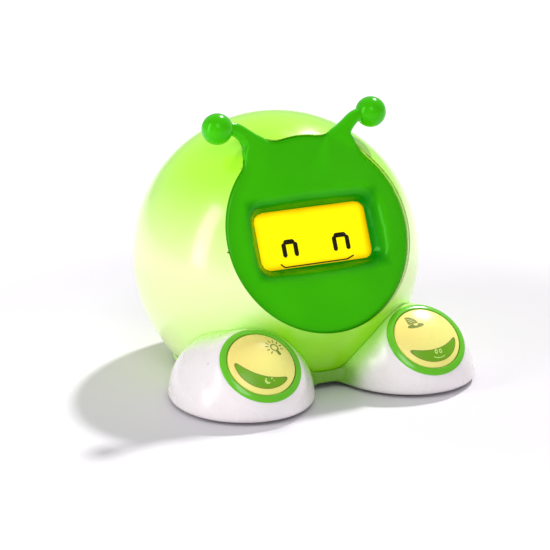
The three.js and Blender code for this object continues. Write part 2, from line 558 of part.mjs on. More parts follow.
const boardTop = REAR_BOARD.bottom + REAR_BOARD.thick;
const domeTop = boardTop + 1.9;
SET_BUTTONS.x.forEach((x, i) => {
  const { y, r, proud, flangeR } = SET_BUTTONS;
  const top = rearSkin(x, y) + proud;
  const flangeTop = sphereHeight(GLOBE_R - REAR_WALL, Math.hypot(x, y) + flangeR) - 0.5;
  const key = turned([[0, top], [r - 0.8, top - 0.1], [r, top - 0.9], [r, flangeTop], [flangeR, flangeTop],
    [flangeR, flangeTop - 0.9], [2, flangeTop - 0.9], [2, domeTop + 1.2], [0, domeTop + 1.2]], 12);
  add(rearFrame, `set_button_${i + 1}`, key.translate(x, y, 0), LOOKS.white);
});

const { x: slideX, y: slideY } = ALARM_SLIDE;
const knobTop = rearSkin(slideX, slideY) + ALARM_SLIDE.proud;
const knobPlate = rearSkin(slideX + 10, slideY) - REAR_WALL - 0.9;
add(rearFrame, 'alarm_switch_knob', join(
  solid(block(slideX - 2.5, slideX + 2.5, slideY - 2, slideY + 2, knobPlate - 0.5, knobTop)),
  solid(block(slideX - 5, slideX + 5, slideY - 3.2, slideY + 3.2, knobPlate - 0.9, knobPlate)),
), LOOKS.white);
add(rearFrame, 'alarm_switch_body', block(slideX - 4, slideX + 8, slideY - 3, slideY + 3, boardTop + GAP,
  knobPlate - 1.2), LOOKS.black);

const keyDome = (x) => turned([[0, boardTop + 0.6], [3.4, boardTop + 0.6], [2.2, domeTop], [0, domeTop]], 14)
  .translate(x, SET_BUTTONS.y, 0);
const keypad = join(solid(block(-20, 20, 3, 13, boardTop + GAP, boardTop + 0.9)),
  ...SET_BUTTONS.x.map((x) => solid(keyDome(x))));
add(rearFrame, 'rear_keypad', keypad, LOOKS.rubber);
const screwHoles = [-1, 1].map((s) => solid(post(s * REAR_SCREW_X, 0, 1.6, 50, 70, 8)));
const rearBoard = cut(solid(disc(REAR_BOARD.r, REAR_BOARD.bottom, boardTop, 20)), ...screwHoles);
add(rearFrame, 'rear_board', rearBoard, LOOKS.board);

const CLAMP = {
  inner: 19.5, outer: 33, rimInner: 31,
  back: 57.1, front: REAR_BOARD.bottom - GAP, rimFront: 60,
};
add(rearFrame, 'rear_clamp_ring', cut(solid(turned([[CLAMP.inner, CLAMP.back], [CLAMP.outer, CLAMP.back],
  [CLAMP.outer, CLAMP.rimFront], [CLAMP.rimInner, CLAMP.rimFront], [CLAMP.rimInner, CLAMP.front],
  [CLAMP.inner, CLAMP.front], [CLAMP.inner, CLAMP.back]], 24)), ...screwHoles), LOOKS.white);
[-1, 1].forEach((s, i) => {
  const rearScrew = screw(CLAMP.back - 1.5, 64.5).translate(s * REAR_SCREW_X, 0, 0);
  add(rearFrame, `rear_screw_${i + 1}`, rearScrew, LOOKS.steel);
});

export default clock;
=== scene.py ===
"""The looks of a bug-shaped night-light alarm clock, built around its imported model.

Blender works in metres. The shapes here are worked out in millimetres, in the frame of the globe, the face,
the back or a foot button, and are placed by that frame."""
import json
import math

import bpy
import numpy as np
from mathutils import Matrix, Vector


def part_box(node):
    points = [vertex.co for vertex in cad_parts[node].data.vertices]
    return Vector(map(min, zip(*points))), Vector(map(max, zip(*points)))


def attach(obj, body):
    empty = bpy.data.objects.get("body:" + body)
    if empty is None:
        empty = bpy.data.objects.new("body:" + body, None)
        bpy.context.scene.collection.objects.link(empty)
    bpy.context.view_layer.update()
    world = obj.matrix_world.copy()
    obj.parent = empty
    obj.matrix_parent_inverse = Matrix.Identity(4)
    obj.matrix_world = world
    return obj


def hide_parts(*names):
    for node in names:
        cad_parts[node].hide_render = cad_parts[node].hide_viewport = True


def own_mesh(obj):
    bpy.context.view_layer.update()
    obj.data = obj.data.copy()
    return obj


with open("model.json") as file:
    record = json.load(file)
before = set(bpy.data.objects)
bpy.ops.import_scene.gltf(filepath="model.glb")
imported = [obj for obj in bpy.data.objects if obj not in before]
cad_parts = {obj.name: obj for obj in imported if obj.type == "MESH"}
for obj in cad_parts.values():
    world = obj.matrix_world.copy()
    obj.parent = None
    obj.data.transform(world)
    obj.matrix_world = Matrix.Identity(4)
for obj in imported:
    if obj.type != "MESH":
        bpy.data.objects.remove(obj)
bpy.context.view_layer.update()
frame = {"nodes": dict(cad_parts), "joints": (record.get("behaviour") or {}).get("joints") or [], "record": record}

MM = 0.001
SIDES = {"left": -1, "right": 1}

# ---- driving sizes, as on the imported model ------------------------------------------
GLOBE_R = 72
GLOBE_Z = 55.6
GLOBE_WALL = 2.2
GLOBE_BOTTOM = 4.2
FLANGE = {"r": 45.9, "half": 3.9, "thick": 2}       # the globe's foot, screwed to the bottom plate
COLLAR = {"r": 50.6, "half": 1.5, "n": 48.4, "half_n": 3}       # the rim of the face's opening
FACE_TILT = math.radians(25)
FACE_R = 49.3
FACE_EDGE_N = 50.4
FACE_APEX_N = 54.6
FACE_BACK_N = 45.4
FACE_WALL = 2.2
SCREEN = {"half_w": 30.0, "half_h": 14.0, "corner": 4.6}
LCD_TOP = 43.7
BALL = {"x": 42, "v": 57.1, "n": 50, "r": 7.7}
FEELER = [
    (22.0, 41.0, 9.0), (22.6, 45.0, 6.8), (24.4, 48.4, 4.7),
    (27.6, 51.9, 3.6), (32.4, 55.6, 3.15), (37.2, 56.6, 3.15),
]                                       # middle line and half width, from the disc to the ball
FEELER_HALF = 3.15
BASE_Z = 1.5
BASE_WALL = 2.2
SKIRT_R = 52.6
WEB = {"half_w": 14, "front": -57, "bottom": 3.4, "top": 10}    # joins the feet under the globe
FOOT = {"x": 43.6, "y": -50.5, "size": (35.3, 40.1, 34.4), "power": 2.07, "toe_out": math.radians(12.5)}
BORE_R = 19.9
RING_EDGE_R = 20.4
SEAT = {"depth": 34.5, "r": 39.7, "fade": 7}
CAP = {"r": 16.9, "top": 5.2, "edge": 1.4}
CRESCENT = {"r": 14.2, "half_span": math.radians(76), "sag": 4.8,
            "turn": {"left": math.radians(-27.2), "right": math.radians(7.8)}}
SPRING = {"r": 7, "wire": 0.6, "bottom": -5.5, "top": 0.2, "turns": 3}
REAR_R = 29.7
REAR_WALL = 2.2
KEY = {"x": (-15, 0, 15), "y": 8, "r": 4.4}
SLIDE = {"x": -2, "y": -11, "half_w": 2.5, "half_h": 2, "travel": 4}
PLATE = {"bottom": 1.8, "top": 3.8, "r": 50}
DOOR = {"half_w": 27.1, "front": -34.1, "back": 12.1, "tongue_half_w": 5, "tongue_front": -40.2}
SPEAKER = {"y": 28, "r": 13.5}
PLATE_SCREWS = [(-45.3, 2), (45.3, 2), (-18.5, 41.5), (18.5, 41.5), (-58, -52), (58, -52)]

# ---- frames -------------------------------------------------------------------------


class Place:
    """An origin and three unit axes, in millimetres of the model's own frame."""

    def __init__(self, origin, x_axis, y_axis):
        self.origin = np.array(origin, float)
        self.axes = np.array([x_axis, y_axis, np.cross(x_axis, y_axis)], float)

    def out(self, points):
        return np.asarray(points, float) @ self.axes + self.origin

    def into(self, points):
        return (points - self.origin) @ self.axes.T


def box_mm(node):
    low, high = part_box(node)
    return np.array(low) / MM, np.array(high) / MM


AXIS_Y = np.mean(box_mm("speaker"), axis=0)[1] - SPEAKER["y"]      # the globe's upright axis
CENTRE = (0, AXIS_Y, GLOBE_Z)
PLAN = Place((0, AXIS_Y, 0), (1, 0, 0), (0, 1, 0))
FACE = Place(CENTRE, (1, 0, 0), (0, math.sin(FACE_TILT), math.cos(FACE_TILT)))
REAR = Place(CENTRE, (-1, 0, 0), (0, 0, 1))
GLOBE = Place(CENTRE, (1, 0, 0), (0, 1, 0))
UNDER_SHADE_TILT = math.radians(35)           # leans the painted shade under the globe towards the feet


def button_place(side):
    joint = next(j for j in frame["joints"] if j["name"] == f"{side}_foot_button_press")
    normal = -np.array(joint["axis"], float)
    board = np.mean(box_mm(f"{side}_button_board"), axis=0)
    board_middle = -6.9
    return Place(board - normal * board_middle, (1, 0, 0), np.cross(normal, (1, 0, 0)))


BUTTONS = {side: button_place(side) for side in SIDES}

# ---- distances ----------------------------------------------------------------------
# Each gives how far points lie outside a shape, and below 0 inside it.


def smooth_min(a, b, reach):
    share = np.clip(0.5 + 0.5 * (b - a) / reach, 0, 1)
    return b * (1 - share) + a * share - reach * share * (1 - share)


def smooth_max(a, b, reach):
    return -smooth_min(-a, -b, reach)


def rounded_box(u, v, half_u, half_v, corner):
    du = np.abs(u) - half_u + corner
    dv = np.abs(v) - half_v + corner
    outside = np.hypot(np.maximum(du, 0), np.maximum(dv, 0))
    return outside + np.minimum(np.maximum(du, dv), 0) - corner


def segment(u, v, start, end):
    """Distance to the straight line between two points, and how far along it the nearest point is."""
    along = np.array(end, float) - start
    share = ((u - start[0]) * along[0] + (v - start[1]) * along[1]) / (along @ along)
    share = np.clip(share, 0, 1)
    return np.hypot(u - start[0] - share * along[0], v - start[1] - share * along[1]), share


def strokes(lines, half):
    """The outline of straight strokes with round ends."""
    return lambda x, y: np.minimum.reduce([segment(x, y, a, b)[0] for a, b in lines]) - half


def slab(flat, across, half, edge):
    """A flat shape given thickness, with its edges rounded."""
    thick = np.abs(across) - half
    a, b = flat + edge, thick + edge
    return np.hypot(np.maximum(a, 0), np.maximum(b, 0)) + np.minimum(np.maximum(a, b), 0) - edge


def rho(p):
    return np.hypot(p[:, 0], p[:, 1])


def fade(value, start, end):
    """0 up to start and 1 from end on, easing between them."""
    share = np.clip((value - start) / (end - start), 0, 1)
    return share * share * (3 - 2 * share)


# ---- meshes -------------------------------------------------------------------------
CORNERS = np.array([(i, j, k) for i in (0, 1) for j in (0, 1) for k in (0, 1)])
CELL_EDGES = [(a, b) for a in range(8) for b in range(a + 1, 8)
              if np.abs(CORNERS[a] - CORNERS[b]).sum() == 1]


def slope(distance, points):
    reach = 0.02
    steps = [distance(points + way) - distance(points - way) for way in reach * np.eye(3)]
    return np.stack(steps, 1) / (2 * reach)


def onto_crease(points, first, second):
    """Moves points to the line where two surfaces cross."""
    for _ in range(5):
        a, b = first(points), second(points)
        na, nb = slope(first, points), slope(second, points)
        aa, ab, bb = (na * na).sum(1), (na * nb).sum(1), (nb * nb).sum(1)
        area = np.maximum(aa * bb - ab * ab, 0.05)
        points = points - na * ((a * bb - b * ab) / area)[:, None]
        points = points - nb * ((b * aa - a * ab) / area)[:, None]
    return points


def near_crease(points, step, surfaces):
    return np.all([np.abs(surface(points)) < 2 * step for surface in surfaces], axis=0)


def holds_crease(points, corners, step, surfaces):
    """Which cells are crossed by both surfaces of a crease."""
    held = near_crease(points, step, surfaces)
    for surface in surfaces:
        inside = surface(corners[held].reshape(-1, 3)).reshape(-1, 8) < 0
        held[held] = inside.any(1) & ~inside.all(1)
    return held


def turned_over(points, faces, normal):
    """Which points belong to a face that lies against its normals."""
    a, b, c, d = (points[faces[:, k]] for k in range(4))
    facing = (np.cross(c - a, d - b) * normal[faces].sum(1)).sum(1)
    found = np.zeros(len(points), bool)
    found[faces[facing < 0]] = True
    return found


def skin(distance, low, high, step, creases=(), passes=1):
    """The surface where distance is 0, as points, four-sided faces and normals.

    Each crease is a pair of distances. An edge stays sharp where both are 0, and is shaded as the first.
    Passes after the first one move the points of faces that came out turned over to the edge as well."""
    axes = [np.arange(low[k], high[k] + step, step) for k in range(3)]
    grid = np.stack(np.meshgrid(*axes, indexing="ij"), -1)
    value = distance(grid.reshape(-1, 3)).reshape(grid.shape[:3])
    inside = value < 0
    cells = np.array(value.shape) - 1
    shifted = [tuple(slice(c, c + n) for c, n in zip(corner, cells)) for corner in CORNERS]
    count = sum(inside[s].astype(int) for s in shifted)
    at = np.argwhere((count > 0) & (count < 8))
    number = np.full(tuple(cells), -1)
    number[tuple(at.T)] = np.arange(len(at))
    total, hits = np.zeros((len(at), 3)), np.zeros(len(at))
    for a, b in CELL_EDGES:
        va, vb = (value[tuple((at + CORNERS[c]).T)] for c in (a, b))
        crossed = (va < 0) != (vb < 0)
        share = np.where(crossed, va / np.where(crossed, va - vb, 1), 0)
        total += crossed[:, None] * (CORNERS[a] + share[:, None] * (CORNERS[b] - CORNERS[a]))
        hits += crossed
    points = np.array(low) + (at + total / hits[:, None]) * step
    for _ in range(4):
        normal = slope(distance, points)
        size = np.maximum((normal ** 2).sum(1), 0.05)
        move = np.clip(distance(points) / size, -step / 2, step / 2)
        points = points - normal * move[:, None]
    normal = slope(distance, points)
    corners = np.array(low) + (at[:, None] + CORNERS) * step
    faces = quads_of(inside, number)
    for surfaces in creases:
        held = holds_crease(points, corners, step, surfaces)
        for _ in range(passes):
            points[held] = onto_crease(points[held], *surfaces)
            normal[held] = slope(surfaces[0], points[held])
            held = turned_over(points, faces, normal) & near_crease(points, step, surfaces)
    normal /= np.maximum(np.linalg.norm(normal, axis=1), 1e-6)[:, None]
    return points, faces, normal


def quads_of(inside, number):
    """A face for each grid edge that crosses the surface, through the four cells round it."""
    found = []
    for axis in range(3):
        u, v = (axis + 1) % 3, (axis + 2) % 3
        lower = [slice(1, -1)] * 3
        lower[axis] = slice(0, -1)
        upper = list(lower)
        upper[axis] = slice(1, None)
        a, b = inside[tuple(lower)], inside[tuple(upper)]
        edges = np.argwhere(a != b)
        start = edges + 1
        start[:, axis] -= 1
        ring = []
        for du, dv in ((-1, -1), (0, -1), (0, 0), (-1, 0)):
            cell = start.copy()
            cell[:, u] += du
            cell[:, v] += dv
            ring.append(number[tuple(cell.T)])
        faces = np.stack(ring, 1)
        turned = b[tuple(edges.T)]
        faces[turned] = faces[turned][:, ::-1]
        found.append(faces)
    return np.concatenate(found)


def lathe(profile, segments=96):
    """A closed profile of (radius, height) points turned about the third axis."""
    profile = np.array(profile, float)
    turn = np.arange(segments) * 2 * np.pi / segments
    points = np.stack([
        np.outer(profile[:, 0], np.cos(turn)), np.outer(profile[:, 0], np.sin(turn)),
        np.repeat(profile[:, 1:], segments, axis=1)], -1).reshape(-1, 3)
    faces = []
    for row in range(len(profile)):
        after = (row + 1) % len(profile)
        if profile[row, 0] + profile[after, 0] < 1e-9:
            continue
        for i in range(segments):
            j = (i + 1) % segments
            corners = [row * segments + i, row * segments + j,
                       after * segments + j, after * segments + i]
            if profile[row, 0] < 1e-9:
                corners = [row * segments, after * segments + j, after * segments + i]
            if profile[after, 0] < 1e-9:
                corners = [row * segments + i, row * segments + j, after * segments]
            faces.append(corners)
    area = sum(a[0] * b[1] - b[0] * a[1] for a, b in zip(profile, np.roll(profile, -1, axis=0)))
    if area < 0:
        faces = [corners[::-1] for corners in faces]
    return points, faces, None


def eased(profile, reach, steps=4):
    """The profile with each corner off the axis replaced by a short curve."""
    points = [np.array(p, float) for p in profile]
    out = []
    for before, corner, after in zip(points[-1:] + points[:-1], points, points[1:] + points[:1]):
        if corner[0] < 1e-9:
            out.append(corner)
            continue
        ends = []
        for other in (before, after):
            length = np.linalg.norm(other - corner)
            ends.append(corner + (other - corner) * min(reach / length, 0.45))
        for share in np.linspace(0, 1, steps):
            bend = 2 * share * (1 - share) * corner
            out.append((1 - share) ** 2 * ends[0] + bend + share ** 2 * ends[1])
    return out


def tube(path, radius, sides=12):
    """A round wire along a path, closed at both ends."""
    path = np.array(path, float)
    along = np.gradient(path, axis=0)
    along /= np.linalg.norm(along, axis=1)[:, None]
    side = np.cross(along, (0, 0, 1.0))
    side /= np.linalg.norm(side, axis=1)[:, None]
    up = np.cross(side, along)
    turn = np.arange(sides) * 2 * np.pi / sides
    round_it = np.cos(turn)[:, None] * side[:, None] + np.sin(turn)[:, None] * up[:, None]
    rings = path[:, None] + radius * round_it
    faces = []
    for start in range(0, (len(path) - 1) * sides, sides):
        for i in range(sides):
            j = (i + 1) % sides
            faces.append([start + sides + i, start + sides + j, start + j, start + i])
    faces += [list(range(sides)), list(range((len(path) - 1) * sides, len(path) * sides))[::-1]]
    return rings.reshape(-1, 3), faces, None


def piece(name, shape, place, look, body="clock_body", replaces=()):
    points, faces, normals = shape
    mesh = bpy.data.meshes.new(name)
    faces = [list(map(int, corners)) for corners in faces]
    mesh.from_pydata((place.out(points) * MM).tolist(), [], faces)
    mesh.materials.append(look)
    mesh.shade_smooth()
    if normals is None:
        mesh.set_sharp_from_angle(angle=math.radians(45))
    else:
        mesh.normals_split_custom_set_from_vertices((normals @ place.axes).tolist())
    obj = bpy.data.objects.new(name, mesh)
    bpy.context.scene.collection.objects.link(obj)
    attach(obj, body)
    if replaces:
        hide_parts(*replaces)
    return obj


# ---- materials ----------------------------------------------------------------------


def linear(red, green, blue):
    """A colour given as screen values from 0 to 255."""
    return tuple((c / 12.92 if c <= 0.04045 else ((c + 0.055) / 1.055) ** 2.4)
                 for c in (red / 255, green / 255, blue / 255)) + (1,)


class Look:
    """A material and the nodes that drive its shader."""

    def __init__(self, name, **constants):
        self.material = bpy.data.materials.new(name)
        self.material.use_nodes = True
        self.nodes = self.material.node_tree.nodes
        self.shader = self.nodes["Principled BSDF"]
        self.place = self.nodes.new("ShaderNodeTexCoord").outputs["Object"]
        for key, value in constants.items():
            socket = key.replace("_", " ").title().replace("Ior", "IOR")
            self.shader.inputs[socket].default_value = value

    def node(self, kind, inputs, output=0, **settings):
        made = self.nodes.new(kind)
        for key, value in settings.items():
            setattr(made, key, value)
        for key, value in inputs.items():
            self.feed(made.inputs[key], value)
        return made.outputs[output]

    def feed(self, socket, value):
        if isinstance(value, bpy.types.NodeSocket):
            self.material.node_tree.links.new(value, socket)
        else:
            socket.default_value = value

    def math(self, operation, a, b=0.0, c=0.0):
        return self.node("ShaderNodeMath", {0: a, 1: b, 2: c}, operation=operation)

    def noise(self, size_mm, detail):
        inputs = {"Vector": self.place, "Scale": 1 / (size_mm * MM), "Detail": detail}
        return self.node("ShaderNodeTexNoise", inputs)

    def along(self, place, axis):
        """Position along one of a place's axes, in millimetres."""
        inputs = {0: self.place, 1: tuple(place.origin * MM)}
        shifted = self.node("ShaderNodeVectorMath", inputs, operation="SUBTRACT")
        inputs = {0: shifted, 1: tuple(place.axes[axis] / MM)}
        return self.node("ShaderNodeVectorMath", inputs, output="Value", operation="DOT_PRODUCT")

    def reach(self, place):
        """Distance from a place's origin, in millimetres."""
        inputs = {0: self.place, 1: tuple(place.origin * MM)}
        far = self.node("ShaderNodeVectorMath", inputs, output="Value", operation="DISTANCE")
        return self.math("MULTIPLY", far, 1 / MM)

    def ramp(self, value, low, high, to_low=0.0, to_high=1.0):
        inputs = {"Value": value, "From Min": low, "From Max": high, "To Min": to_low, "To Max": to_high}
        return self.node("ShaderNodeMapRange", inputs, interpolation_type="SMOOTHSTEP")

    def blend(self, share, first, second):
        inputs = {"Factor": share, "A": first, "B": second}
        made = self.nodes.new("ShaderNodeMix")
        made.data_type = "RGBA"
        sockets = {s.name: s for s in made.inputs if s.enabled and s.type in ("RGBA", "VALUE")}
        for key, value in inputs.items():
            self.feed(sockets[key], value)
        return next(s for s in made.outputs if s.type == "RGBA")

    def set(self, name, value):
        self.feed(self.shader.inputs[name], value)

    def bump(self, height, depth_mm):
        inputs = {"Height": height, "Distance": depth_mm * MM, "Strength": 1.0}
        self.set("Normal", self.node("ShaderNodeBump", inputs))


def moulded(name, colour, roughness, texture_mm=0.9, depth_mm=0.006, **constants):
    """Moulded plastic: faint flow streaks in its colour, uneven gloss and a fine surface texture."""
    look = Look(name, **constants)
    darker = tuple(c * 0.94 for c in colour[:3]) + (1,)
    look.set("Base Color", look.blend(look.ramp(look.noise(38, 3), 0.3, 0.7), darker, colour))
    uneven = look.ramp(look.noise(7, 4), 0.25, 0.75, roughness * 0.85, roughness * 1.2)
    look.set("Roughness", uneven)
    look.bump(look.noise(texture_mm, 3), depth_mm)
    return look


def globe_look():
    """Milky lime plastic with lamps behind it: deep lime on top. Painted light makes it palest round its middle
    and right side, and painted shade makes it olive where it turns under between the feet."""
    look = Look("globe_plastic", specular_ior_level=0.5, coat_weight=0.6, coat_roughness=0.12)
    cloud = look.math("MULTIPLY_ADD", look.noise(30, 2), 8.0, -4.0)
    height = look.math("ADD", look.along(GLOBE, 2), cloud)
    across = look.math("ADD", look.along(GLOBE, 0), cloud)
    # pale is painted light: the globe paler from its middle down and towards its right side
    pale = look.math("MAXIMUM", look.ramp(height, 56, 2), look.ramp(across, 50, 68))
    # painted shade: olive where the globe turns under between the feet
    under = Place(CENTRE, (1, 0, 0), (0, -math.sin(UNDER_SHADE_TILT), math.cos(UNDER_SHADE_TILT)))
    dark = look.ramp(look.math("ADD", look.along(under, 2), cloud), 50, 66)
    colour = look.blend(pale, linear(178, 250, 52), linear(226, 252, 168))
    colour = look.blend(dark, colour, linear(146, 222, 12))
    look.set("Base Color", colour)
    # the glow takes the same colour, painted light and painted shade included
    look.set("Emission Color", colour)
    look.set("Emission Strength", 0.06)
    look.set("Roughness", look.ramp(look.noise(6, 3), 0.3, 0.7, 0.2, 0.27))
    look.bump(look.noise(1.2, 2), 0.004)
    return look.material


def face_look():
    """Green gloss plastic, darker in the dish round the display: painted shade."""
    look = Look("face_plastic", specular_ior_level=0.5, specular_tint=(0.3, 1, 0.18, 1))
    streaks = look.ramp(look.noise(38, 3), 0.3, 0.7)
    green = look.blend(streaks, linear(56, 184, 0), linear(62, 192, 0))
    # painted shade: a darker green in the dish close round the display
    past = [look.math("SUBTRACT", look.math("ABSOLUTE", look.along(FACE, axis)), half)
            for axis, half in ((0, SCREEN["half_w"]), (1, SCREEN["half_h"]))]
    away = look.node("ShaderNodeMath", {0: past[0], 1: past[1], 2: 3.0}, operation="SMOOTH_MAX")
    away = look.math("ADD", away, look.math("MULTIPLY_ADD", look.noise(14, 2), 2.0, -1.0))
    look.set("Base Color", look.blend(look.ramp(away, 1, 8), linear(0, 136, 0), green))
    look.set("Roughness", look.ramp(look.noise(7, 4), 0.25, 0.75, 0.17, 0.24))
    look.bump(look.noise(0.9, 3), 0.005)
    return look.material


def base_look():
    """White gloss plastic with the globe's green light painted on near the seam, and green-tinted painted shade
    between the feet.
    """
    look = Look("base_plastic", specular_ior_level=0.5, coat_weight=0.3, coat_roughness=0.22)
    white = look.blend(look.noise(26, 2), linear(240, 234, 238), linear(248, 240, 241))
    # painted light: the globe's green glow painted onto the base near the globe
    near = look.ramp(look.reach(GLOBE), GLOBE_R + 17, GLOBE_R, 0, 0.95)
    colour = look.blend(near, white, linear(190, 250, 110))
    # painted shade, tinted green, low down between the feet
    middle = look.ramp(look.math("ABSOLUTE", look.along(PLAN, 0)), 15, 8)
    low = look.ramp(look.along(PLAN, 2), 16, 10)
    look.set("Base Color", look.blend(look.math("MULTIPLY", middle, low), colour, linear(112, 172, 40)))
    look.set("Roughness", look.ramp(look.noise(8, 4), 0.25, 0.75, 0.24, 0.32))
    return look.material


def cap_look(side):
    """Cream button plastic, warmer towards its upper left."""
    look = Look(f"{side}_cap_plastic", specular_ior_level=0.4, coat_weight=0.1, coat_roughness=0.12)
    place = BUTTONS[side]
    across = look.math("MULTIPLY", look.along(place, 0), -0.8)
    slant = look.math("ADD", look.along(place, 1), across)
    warm = look.ramp(look.math("ADD", slant, look.math("MULTIPLY", look.noise(9, 2), 5)), -8, 18)
    look.set("Base Color", look.blend(warm, linear(252, 244, 136), linear(253, 234, 132)))
    look.set("Roughness", look.ramp(look.noise(5, 3), 0.3, 0.7, 0.26, 0.34))
    look.bump(look.noise(0.8, 3), 0.004)
    return look.material


def lcd_look():
    """Backlit yellow display, orange towards its edges: painted shade where the bezel's rim overhangs it."""
    look = Look("lcd_glow", roughness=0.35, specular_ior_level=0.05)
    # painted shade: colour and glow turn orange towards the display's edges
    edge = [look.math("SUBTRACT", half, look.math("ABSOLUTE", look.along(FACE, axis)))
            for axis, half in ((0, SCREEN["half_w"]), (1, SCREEN["half_h"]))]
    depth = look.node("ShaderNodeMath", {0: edge[0], 1: edge[1], 2: 3.0}, operation="SMOOTH_MIN")
    uneven = look.math("MULTIPLY_ADD", look.noise(12, 2), 2.0, -1.0)
    share = look.ramp(look.math("ADD", depth, uneven), -1.0, 3.5)
    colour = look.blend(share, linear(246, 196, 0), linear(255, 242, 6))
    look.set("Base Color", colour)
    look.set("Emission Color", colour)
    look.set("Emission Strength", look.ramp(look.noise(0.35, 1), 0.2, 0.8, 0.52, 0.6))
    return look.material


def glass_look():
    look = Look("window_glass", alpha=0.04, roughness=0.03, specular_ior_level=0.3,
                base_color=(0.1, 0.09, 0, 1))
    look.bump(look.noise(14, 2), 0.01)
    return look.material


def metal_look(name, colour, roughness):
    look = Look(name, metallic=1)
    darker = tuple(c * 0.8 for c in colour[:3]) + (1,)
    look.set("Base Color", look.blend(look.noise(4, 3), colour, darker))
    uneven = look.ramp(look.noise(1.5, 4), 0.3, 0.7, roughness * 0.8, roughness * 1.4)
    look.set("Roughness", uneven)
    look.bump(look.noise(0.5, 3), 0.004)
    return look.material


def rubber_look():
    look = Look("rubber", specular_ior_level=0.3, roughness=0.75)
    look.set("Base Color", look.blend(look.noise(3, 4), linear(34, 34, 36), linear(58, 58, 60)))
    look.bump(look.noise(0.4, 3), 0.03)
    return look.material


def board_look():
    """Circuit board: green mask with the shade of copper tracks under it."""
    look = Look("circuit_board", roughness=0.4)
    inputs = {"Vector": look.place, "Scale": 240.0}
    tracks = look.node("ShaderNodeTexVoronoi", inputs, distance="MANHATTAN", feature="F1")
    share = look.ramp(tracks, 0.25, 0.3)
    look.set("Base Color", look.blend(share, linear(30, 120, 60), linear(18, 86, 44)))
    look.bump(tracks, 0.03)
    return look.material


def cell_look():
    """Battery wrap: bands of colour along the cell, bare metal at its ends."""
    look = Look("cell_wrap", metallic=0.6)
    band = look.ramp(look.math("ABSOLUTE", look.along(PLAN, 0)), 9, 10)
    look.set("Base Color", look.blend(band, linear(40, 44, 50), linear(196, 150, 70)))
    look.set("Roughness", look.ramp(look.noise(3, 3), 0.3, 0.7, 0.25, 0.4))
    return look.material


def shiny(name, colour, roughness):
    return moulded(name, colour, roughness, coat_weight=0.3, coat_roughness=0.05)


LOOKS = {
    "globe": globe_look(),
    "face": face_look(),
    "base": base_look(),
    "plate": moulded("plate_plastic", linear(242, 236, 238), 0.32).material,
    "ring": shiny("ring_plastic", linear(102, 200, 20), 0.2).material,
    "crescent": moulded("crescent_plastic", linear(112, 176, 4), 0.3, texture_mm=0.5).material,
    "olive": moulded("printed_olive", linear(122, 140, 22), 0.45, texture_mm=0.3).material,
    "pale": moulded("printed_pale", linear(206, 236, 120), 0.45, texture_mm=0.3).material,
    "ink": moulded("display_ink", linear(26, 20, 4), 0.3, 0.3, specular_ior_level=0.2).material,
    "lcd": lcd_look(),
    "glass": glass_look(),
    "light": moulded("lamp_white", linear(250, 250, 240), 0.3).material,
    "inner": moulded("inner_white", linear(226, 226, 222), 0.5).material,
    "key": shiny("key_white", linear(240, 240, 236), 0.22).material,
    "black": moulded("black_plastic", linear(30, 30, 32), 0.45, 0.5, 0.02).material,
    "rubber": rubber_look(),
    "board": board_look(),
    "steel": metal_look("plated_steel", (0.72, 0.72, 0.74, 1), 0.28),
    "cell": cell_look(),
}
SLOT_LOOKS = {
    "globe": "globe", "face_green": "face", "base_white": "plate", "ring_green": "ring",
    "crescent_green": "crescent", "clear_window": "glass", "lcd_yellow": "lcd", "light_white": "light",
    "inner_white": "inner", "key_white": "key", "rubber_dark": "rubber", "board_green": "board",
    "plastic_black": "black", "screw_steel": "steel", "cell_wrap": "cell", "cap_cream": "key",
}

# ---- face ---------------------------------------------------------------------------
DISH_LIP = 5.5
DOME_R = (FACE_R ** 2 + (FACE_APEX_N - FACE_EDGE_N) ** 2) / (2 * (FACE_APEX_N - FACE_EDGE_N))


def feeler_line(steps=5):
    """The feeler's middle line, eased between its points: x, v and half width."""
    points = np.array(FEELER)
    ends = np.vstack([2 * points[0] - points[1], points, 2 * points[-1] - points[-2]])
    line = []
    for a, b, c, d in zip(ends, ends[1:], ends[2:], ends[3:]):
        for t in np.arange(steps) / steps:
            line.append(0.5 * (2 * b + (c - a) * t + (2 * a - 5 * b + 4 * c - d) * t ** 2
                               + (3 * b - a - 3 * c + d) * t ** 3))
    return np.array(line + [points[-1]])


FEELER_LINE = feeler_line()


def feeler_outline(x, v):
    """How far points lie outside the feelers, seen square to the face."""
    far = 20.0
    outline = np.full(x.shape, far)
    near = (v > FEELER[0][1] - far) & (np.abs(x) > FEELER[0][0] - far)
    for a, b in zip(FEELER_LINE, FEELER_LINE[1:]):
        away, share = segment(np.abs(x[near]), v[near], a[:2], b[:2])
        outline[near] = np.minimum(outline[near], away - a[2] - share * (b[2] - a[2]))
    return outline


def face_outline(p):
    """The outline of the disc and its feelers, flowing into each other."""
    fillet = 6
    return smooth_min(rho(p) - FACE_R, feeler_outline(p[:, 0], p[:, 1]), fillet)


def face_front(p):
    """The face's domed front and its feelers, solid down to below the face's back."""
    r = rho(p)
    dome = FACE_APEX_N - DOME_R + np.sqrt(DOME_R ** 2 - np.minimum(r, FACE_R) ** 2)
    top = dome + fade(r, 46, 66) * (BALL["n"] + FEELER_HALF - dome)
    deep = FACE_BACK_N - 6
    bottom = deep + fade(r, 48, 62) * (BALL["n"] - FEELER_HALF - deep)
    edge = 2.4
    return slab(face_outline(p), p[:, 2] - (top + bottom) / 2, (top - bottom) / 2, edge)


